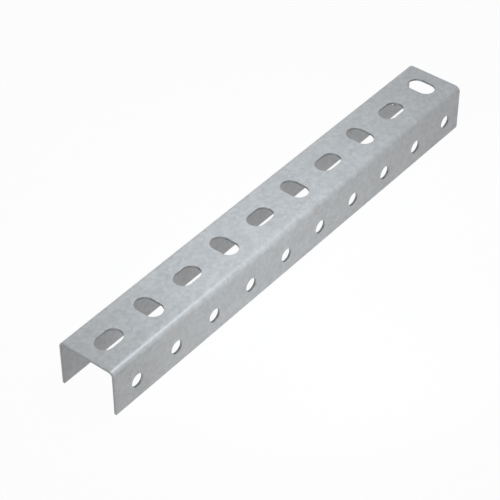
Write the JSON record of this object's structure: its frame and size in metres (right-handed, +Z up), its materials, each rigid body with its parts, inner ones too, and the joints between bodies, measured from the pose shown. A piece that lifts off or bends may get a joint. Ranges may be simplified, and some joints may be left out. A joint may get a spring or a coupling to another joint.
{
  "type": "mounting profile",
  "caption": "Short perforated U channel bent from galvanised steel sheet, with slots in its web and round holes in both flanges, for fixing cable trays and equipment.",
  "frame": {"origin": "on the plane of the flange edges, below the middle of the length and of the width", "axes": "+X along the profile, from the end with the lengthwise slot to the end with the cross slot; +Y across the web; +Z up from the open side to the web"},
  "size_m": [0.3, 0.0366, 0.029],
  "materials": {
    "galvanised_steel": "satin zinc coating with faint cloudy spangle, plain grey sheared edges"
  },
  "bodies": {
    "root": {"mounting_profile": "galvanised_steel"}
  },
  "joints": []
}
